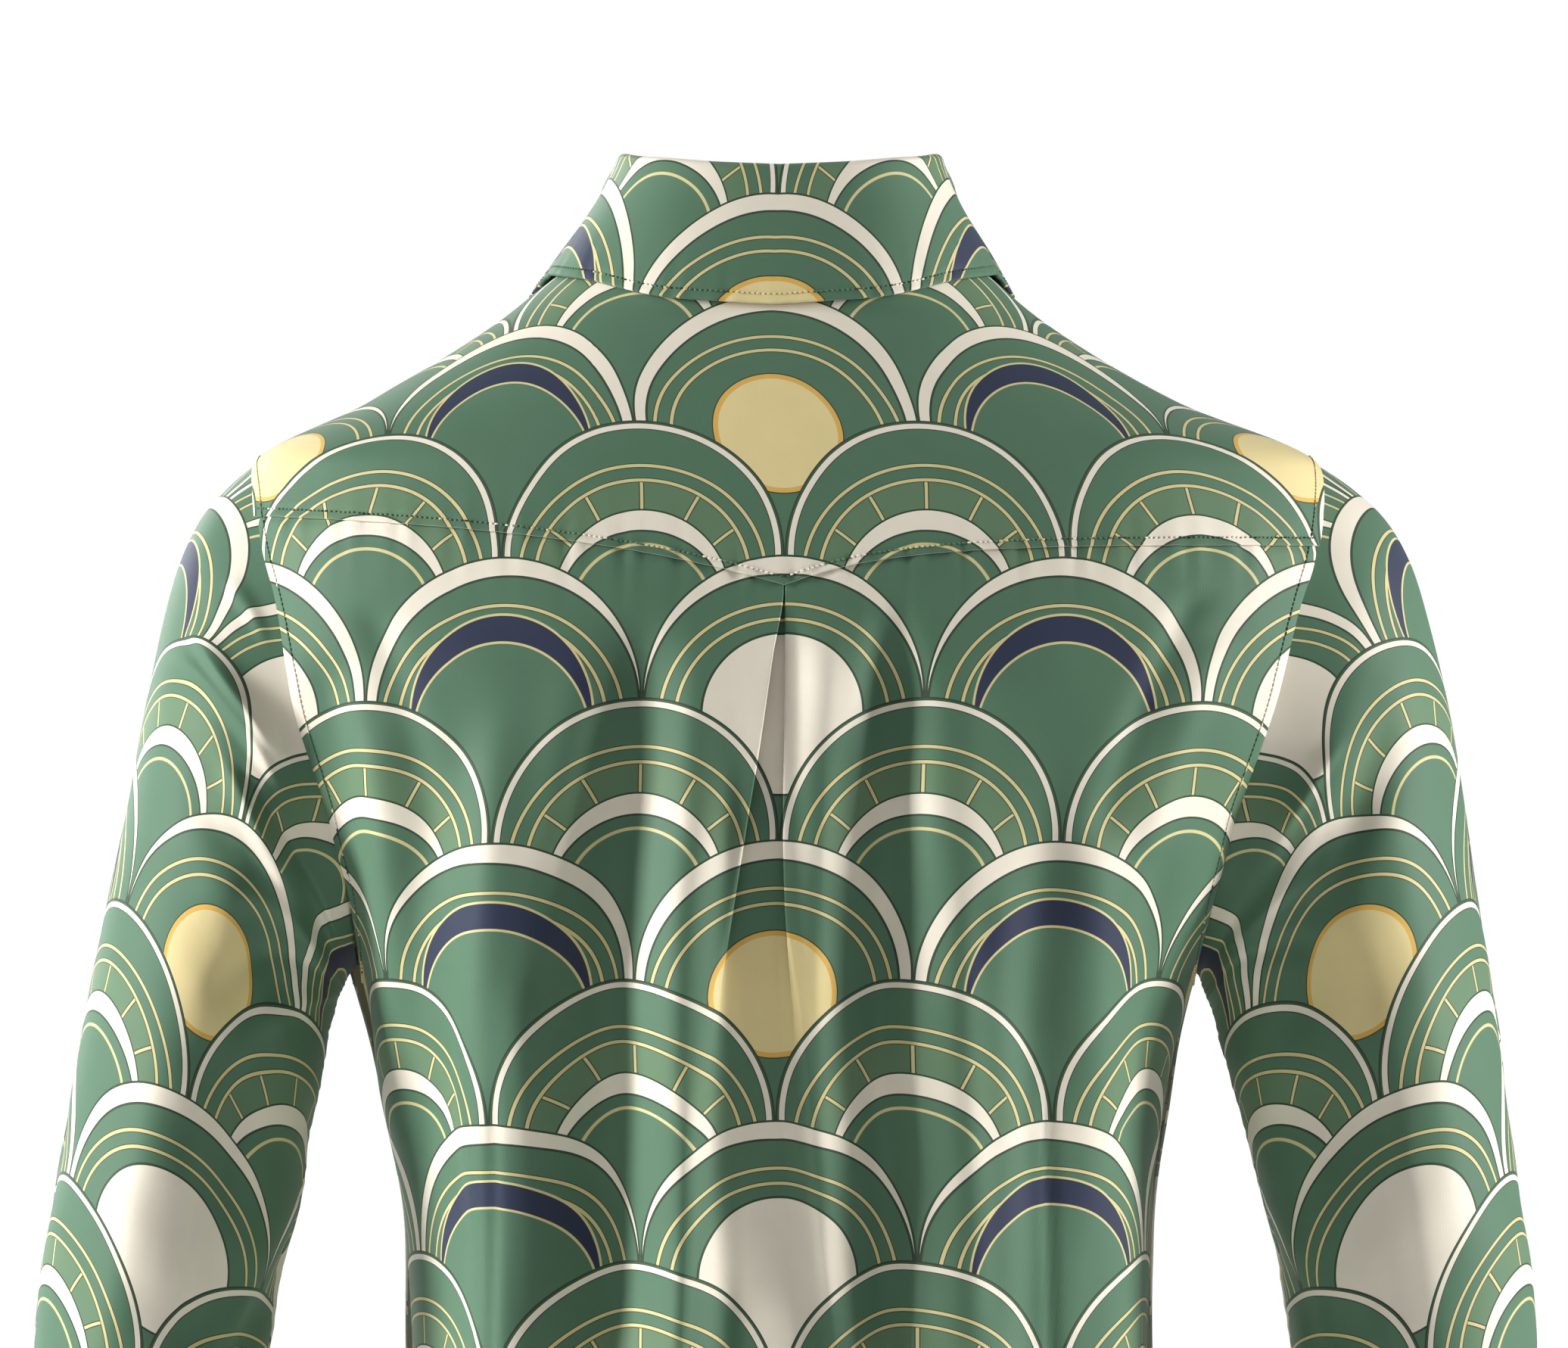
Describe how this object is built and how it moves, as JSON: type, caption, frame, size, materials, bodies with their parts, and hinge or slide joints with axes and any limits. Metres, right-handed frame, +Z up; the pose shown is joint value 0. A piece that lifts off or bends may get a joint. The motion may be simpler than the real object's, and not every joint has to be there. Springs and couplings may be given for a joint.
{
  "type": "golf shirt",
  "caption": "Fitted long-sleeved shirt with a turned-down collar, short placket, back yoke and a centre back box pleat, hollow in its worn shape.",
  "frame": {"origin": "between the two shoulders at the base of the neck, where the wearer holds the shirt up", "axes": "+Z up, -Y to the front of the shirt, +X to the wearer's left"},
  "size_m": [0.587, 0.2492, 0.6916],
  "materials": {
    "cloth": "printed cotton twill with a soft sheen",
    "collar_cloth": "the same printed twill, interfaced, on the collar and placket",
    "buttons": "polished cream resin"
  },
  "bodies": {
    "root": {"back_yoke": "cloth", "back_panel": "cloth", "front_panel": "cloth", "sleeve_left": "cloth", "sleeve_right": "cloth", "collar_stand": "collar_cloth", "collar_leaf": "collar_cloth", "placket_over": "collar_cloth", "placket_under": "collar_cloth", "button_1": "buttons", "button_2": "buttons", "button_3": "buttons"}
  },
  "joints": []
}
